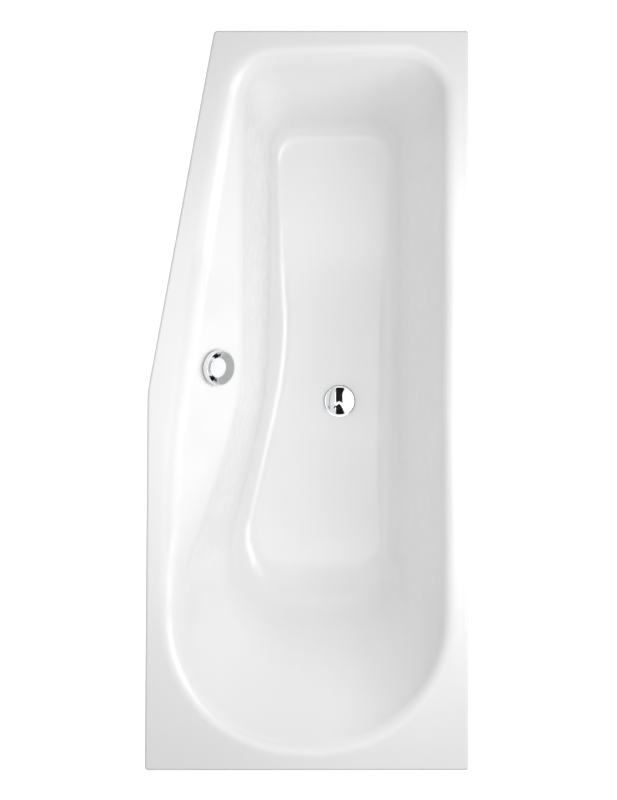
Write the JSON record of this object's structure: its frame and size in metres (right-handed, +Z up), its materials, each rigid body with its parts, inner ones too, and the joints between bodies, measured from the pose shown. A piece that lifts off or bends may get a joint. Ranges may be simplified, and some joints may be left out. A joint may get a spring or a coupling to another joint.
{
  "type": "bathtub",
  "caption": "Tapered space-saving bath of enamelled steel for a corner, on levelling feet, with pop-up plug, turning overflow knob, overflow pipe and trap.",
  "frame": {"origin": "on the floor that the feet stand on, under the middle of the bath's plan", "axes": "+X to the straight wall side, +Y to the narrow foot end, +Z up"},
  "size_m": [0.6999, 1.6, 0.59],
  "materials": {
    "enamel": "glossy white vitreous enamel on steel",
    "zinc": "zinc plated",
    "chrome": "polished chrome plate",
    "brass": "plain turned brass",
    "rubber": "matt black rubber",
    "bitumen": "dull bitumen felt",
    "black_plastic": "satin black plastic",
    "white_plastic": "satin white plastic",
    "grey_plastic": "satin grey plastic",
    "cable_sheath": "smooth dark grey plastic sheath"
  },
  "bodies": {
    "bath": {"bath_shell": "enamel", "floor_pads": "bitumen", "earth_tab": "zinc", "earth_bolt": "zinc", "earth_nut": "zinc", "foot_rail": "zinc", "head_rail": "zinc", "rail_strips": "rubber", "rail_studs": "zinc", "rail_nuts": "zinc", "spindle_weld_nuts": "zinc", "spindle_lock_nuts": "zinc", "drain_flange": "chrome", "flange_gasket": "rubber", "body_gasket": "rubber", "drain_body": "white_plastic", "drain_cable_gland": "brass", "lever_pin": "zinc", "overflow_ring": "chrome", "ring_gasket": "rubber", "rear_gasket": "rubber", "overflow_body": "white_plastic", "overflow_cable_gland": "brass", "control_cable": "cable_sheath", "overflow_pipe": "grey_plastic", "pipe_top_nut": "grey_plastic", "pipe_bottom_nut": "grey_plastic", "pipe_seals": "rubber", "trap_inlet_nut": "grey_plastic", "trap_bend": "white_plastic", "cleaning_plug": "white_plastic", "trap_outlet_nut": "grey_plastic", "trap_outlet": "white_plastic", "trap_seals": "rubber"},
    "knob": {"overflow_knob": "chrome", "knob_spindle": "brass", "cable_drum": "black_plastic"},
    "plug": {"plug_cover": "chrome", "plug_seal": "rubber", "plug_stem": "brass"},
    "lever": {"lift_lever": "black_plastic"},
    "foot_free_side": {"foot_free_side_spindle": "zinc", "foot_free_side_cup": "black_plastic", "foot_free_side_sole": "rubber"},
    "foot_wall_side": {"foot_wall_side_spindle": "zinc", "foot_wall_side_cup": "black_plastic", "foot_wall_side_sole": "rubber"},
    "head_free_side": {"head_free_side_spindle": "zinc", "head_free_side_cup": "black_plastic", "head_free_side_sole": "rubber"},
    "head_wall_side": {"head_wall_side_spindle": "zinc", "head_wall_side_cup": "black_plastic", "head_wall_side_sole": "rubber"}
  },
  "joints": [
    {"name": "knob_turn", "type": "hinge", "parent": "bath", "child": "knob", "pos_m": [-0.197, 0.072, 0.54213], "axis": [0.6289, -0.0956, 0.7716], "range_deg": [0, 120]},
    {"name": "plug_lift", "type": "slide", "parent": "bath", "child": "plug", "axis": [0, 0, 1], "range_m": [0, 0.01251]},
    {"name": "lever_swing", "type": "hinge", "parent": "bath", "child": "lever", "pos_m": [0.09309, -0.001, 0.13095], "axis": [0, 1, 0], "range_deg": [0, 33.01]},
    {"name": "foot_free_side_height", "type": "slide", "parent": "bath", "child": "foot_free_side", "axis": [0, 0, 1], "range_m": [-0.03, 0.01]},
    {"name": "foot_wall_side_height", "type": "slide", "parent": "bath", "child": "foot_wall_side", "axis": [0, 0, 1], "range_m": [-0.03, 0.01]},
    {"name": "head_free_side_height", "type": "slide", "parent": "bath", "child": "head_free_side", "axis": [0, 0, 1], "range_m": [-0.03, 0.01]},
    {"name": "head_wall_side_height", "type": "slide", "parent": "bath", "child": "head_wall_side", "axis": [0, 0, 1], "range_m": [-0.03, 0.01]}
  ],
  "couplings": [
    {"joint": "plug_lift", "follows": "knob_turn", "m_per_rad": 0.0059667},
    {"joint": "lever_swing", "follows": "knob_turn", "ratio": 0.275}
  ]
}
